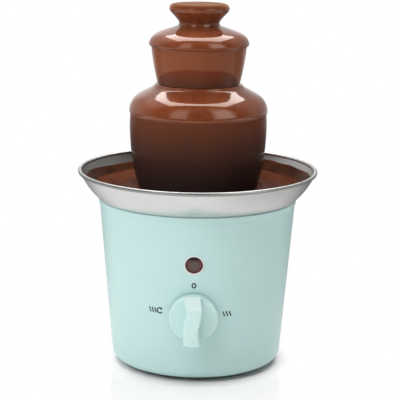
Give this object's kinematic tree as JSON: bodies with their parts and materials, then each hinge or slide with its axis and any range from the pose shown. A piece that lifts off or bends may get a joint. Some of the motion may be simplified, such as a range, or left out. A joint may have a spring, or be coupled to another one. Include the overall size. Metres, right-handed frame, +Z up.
{
  "type": "chocolate fountain",
  "caption": "Small table-top chocolate fountain: a heated steel bowl on a tapered plastic housing, with a lift-off tower that an auger feeds and chocolate flowing over its tiers.",
  "frame": {"origin": "on the table under the centre of the housing, at the underside of the feet", "axes": "+Z up along the tower, -Y out of the front with the knob, +X to the right seen from the front"},
  "size_m": [0.1682, 0.1682, 0.2556],
  "materials": {
    "housing_mint": "satin moulded plastic",
    "bowl_steel": "brushed stainless steel",
    "tower_white": "moulded food-safe plastic",
    "chocolate": "wet and glossy",
    "base_dark": "moulded plastic",
    "foot_rubber": "matte rubber",
    "zinc": "zinc plated",
    "bright_steel": "ground",
    "seal_rubber": "silicone",
    "white_plastic": "moulded plastic",
    "heater_aluminium": "cast",
    "element_steel": "heat-tinted",
    "phenolic": "moulded phenolic",
    "brass": "turned",
    "copper_coil": "enamelled winding",
    "magnet": "ferrite",
    "red_lens": "tinted, clear",
    "lamp_glass": "clear",
    "lead_sleeve": "matte sleeve"
  },
  "bodies": {
    "base": {"housing": "housing_mint", "base_plate": "base_dark", "rubber_feet": "foot_rubber", "base_screws": "zinc", "bowl": "bowl_steel", "bowl_studs": "zinc", "stud_spacers": "zinc", "stud_nuts": "zinc", "locating_pins": "bright_steel", "bowl_bush": "white_plastic", "bush_nut": "white_plastic", "shaft_seal": "seal_rubber", "heater_plate": "heater_aluminium", "heating_element": "element_steel", "thermostat": "phenolic", "thermal_fuse": "brass", "motor_plate": "zinc", "motor_cover": "zinc", "motor_case": "zinc", "motor_screws": "zinc", "motor_bush": "brass", "motor_coil": "copper_coil", "gear_plate": "zinc", "rotor_axle": "bright_steel", "idler_axle": "bright_steel", "switch_body": "base_dark", "switch_back": "phenolic", "switch_nut": "zinc", "switch_terminals": "brass", "lamp_ring": "white_plastic", "lamp_lens": "red_lens", "lamp_clip": "white_plastic", "neon_lamp": "lamp_glass", "cord_gland": "foot_rubber", "gland_clip": "foot_rubber", "terminal_block": "white_plastic", "terminal_screws": "brass", "leads": "lead_sleeve", "chocolate_pool": "chocolate"},
    "knob": {"knob": "housing_mint", "switch_shaft": "bright_steel", "switch_cam": "base_dark"},
    "drive": {"drive_shaft": "bright_steel", "output_gear": "white_plastic", "auger_core": "tower_white", "auger_flight": "tower_white"},
    "idler": {"idler_gear": "white_plastic"},
    "rotor": {"rotor_magnet": "magnet", "rotor_pinion": "white_plastic"},
    "tower": {"tower_foot": "tower_white", "tower_tube": "tower_white", "lower_tier": "tower_white", "tier_spacer": "tower_white", "upper_tier": "tower_white", "crown": "tower_white", "chocolate_crown": "chocolate", "chocolate_upper": "chocolate", "chocolate_lower": "chocolate"}
  },
  "joints": [
    {"name": "knob_turn", "type": "hinge", "parent": "base", "child": "knob", "pos_m": [0, -0.06341, 0.0494], "axis": [0, -0.9966, -0.0818], "range_deg": [-90, 90]},
    {"name": "drive_spin", "type": "hinge", "parent": "base", "child": "drive", "pos_m": [0, 0, 0.1], "axis": [0, 0, 1], "continuous": true},
    {"name": "idler_spin", "type": "hinge", "parent": "base", "child": "idler", "pos_m": [0.01295, 0, 0.075], "axis": [0, 0, 1], "continuous": true},
    {"name": "rotor_spin", "type": "hinge", "parent": "base", "child": "rotor", "pos_m": [0, 0, 0.07], "axis": [0, 0, 1], "continuous": true},
    {"name": "tower_lift", "type": "slide", "parent": "base", "child": "tower", "axis": [0, 0, 1], "range_m": [0, 0.155]}
  ],
  "couplings": [
    {"joint": "idler_spin", "follows": "drive_spin", "ratio": -2.0833},
    {"joint": "rotor_spin", "follows": "drive_spin", "ratio": 4.3403}
  ]
}
